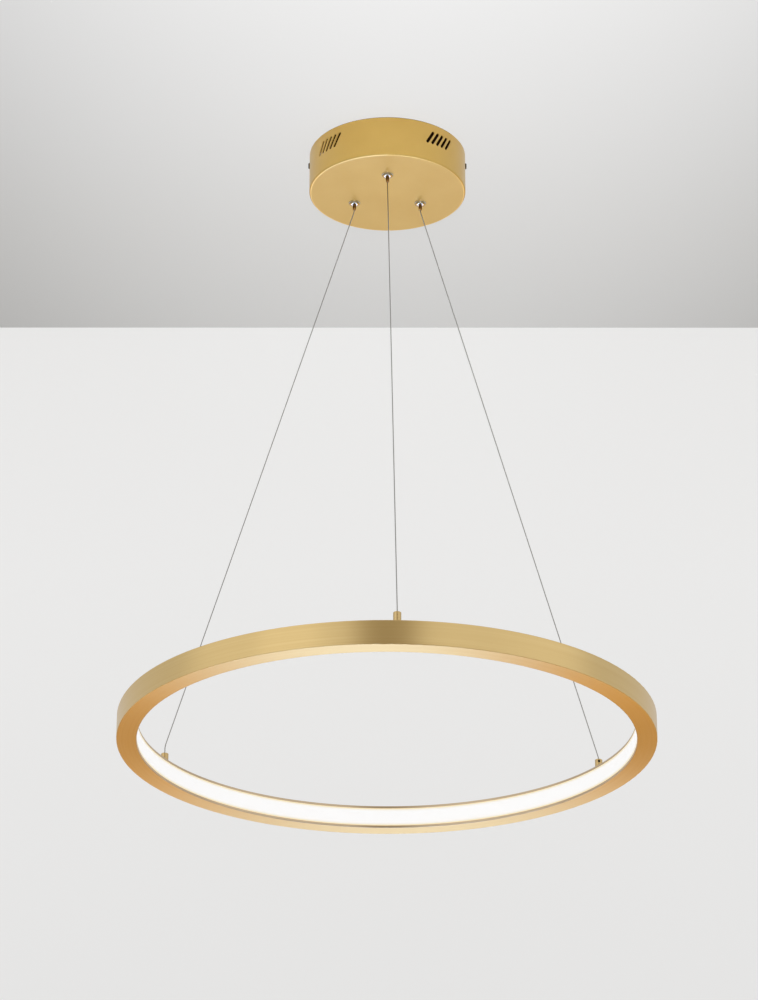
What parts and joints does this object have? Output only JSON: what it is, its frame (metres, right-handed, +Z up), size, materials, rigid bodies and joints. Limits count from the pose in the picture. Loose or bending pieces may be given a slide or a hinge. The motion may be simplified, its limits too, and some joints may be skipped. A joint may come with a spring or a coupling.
{
  "type": "led pendant light",
  "caption": "Round gold ceiling canopy with self-locking cable grippers that hang an inward-lit LED ring on thin steel wires, so the ring's height can be set.",
  "frame": {"origin": "centre of the canopy's rim, on the ceiling plane", "axes": "+Z up, into the ceiling; the ring hangs towards -Z; -Y is the front, where one of the wires is; +X to the right"},
  "size_m": [0.6, 0.6, 0.75],
  "materials": {
    "gold_paint": "satin gold powder coat",
    "black_steel": "black oxide",
    "gold_aluminium": "satin gold anodised",
    "gold_brass": "satin gold",
    "chrome": "polished",
    "dark_brass": "dark burnished",
    "zinc_steel": "zinc plated",
    "spring_steel": "bright",
    "wire_steel": "stranded, bright",
    "opal": "opal, lit from inside",
    "white_nylon": "natural nylon",
    "plain_brass": "bright",
    "driver_plastic": "moulded",
    "circuit_board": "solder mask",
    "strip_board": "white solder mask",
    "led_phosphor": "phosphor",
    "foam": "closed cell foam"
  },
  "bodies": {
    "canopy_assembly": {"canopy": "gold_paint", "ceiling_bracket": "zinc_steel", "side_screw_left": "black_steel", "side_screw_right": "black_steel", "earth_washer": "zinc_steel", "earth_screw": "zinc_steel", "terminal_block": "white_nylon", "terminal_screws": "plain_brass", "terminal_fixing_screws": "zinc_steel", "driver_tape": "foam", "driver_case": "driver_plastic", "driver_cover": "driver_plastic", "driver_board": "circuit_board", "gripper_body_front": "chrome", "gripper_body_right": "chrome", "gripper_body_left": "chrome", "gripper_nut_front": "zinc_steel", "gripper_nut_right": "zinc_steel", "gripper_nut_left": "zinc_steel", "gripper_spring_front": "spring_steel", "gripper_spring_right": "spring_steel", "gripper_spring_left": "spring_steel", "gripper_cap_front": "zinc_steel", "gripper_cap_right": "zinc_steel", "gripper_cap_left": "zinc_steel", "wire_sleeve_front": "plain_brass", "wire_sleeve_right": "plain_brass", "wire_sleeve_left": "plain_brass", "wire_front": "wire_steel", "wire_right": "wire_steel", "wire_left": "wire_steel"},
    "ring_assembly": {"ring_profile": "gold_aluminium", "diffuser": "opal", "led_strip": "strip_board", "led_chips": "led_phosphor", "boss_front": "gold_brass", "boss_right": "gold_brass", "boss_left": "gold_brass", "set_screw_front": "black_steel", "set_screw_right": "black_steel", "set_screw_left": "black_steel", "boss_bush_front": "white_nylon", "boss_bush_right": "white_nylon", "boss_bush_left": "white_nylon", "boss_washer_front": "white_nylon", "boss_washer_right": "white_nylon", "boss_washer_left": "white_nylon", "boss_nut_front": "plain_brass", "boss_nut_right": "plain_brass", "boss_nut_left": "plain_brass"},
    "plunger_front": {"gripper_plunger_front": "dark_brass", "gripper_balls_front": "spring_steel"},
    "plunger_right": {"gripper_plunger_right": "dark_brass", "gripper_balls_right": "spring_steel"},
    "plunger_left": {"gripper_plunger_left": "dark_brass", "gripper_balls_left": "spring_steel"}
  },
  "joints": [
    {"name": "ring_height", "type": "slide", "parent": "canopy_assembly", "child": "ring_assembly", "axis": [0, 0, 1], "range_m": [0, 0.4], "deforming": ["wire_front", "wire_right", "wire_left"]},
    {"name": "plunger_press_front", "type": "slide", "parent": "canopy_assembly", "child": "plunger_front", "axis": [0, 0, 1], "range_m": [0, 0.0025], "stiffness_N_per_m": 600, "springref_m": -0.003, "deforming": ["gripper_spring_front"]},
    {"name": "plunger_press_right", "type": "slide", "parent": "canopy_assembly", "child": "plunger_right", "axis": [0, 0, 1], "range_m": [0, 0.0025], "stiffness_N_per_m": 600, "springref_m": -0.003, "deforming": ["gripper_spring_right"]},
    {"name": "plunger_press_left", "type": "slide", "parent": "canopy_assembly", "child": "plunger_left", "axis": [0, 0, 1], "range_m": [0, 0.0025], "stiffness_N_per_m": 600, "springref_m": -0.003, "deforming": ["gripper_spring_left"]}
  ]
}
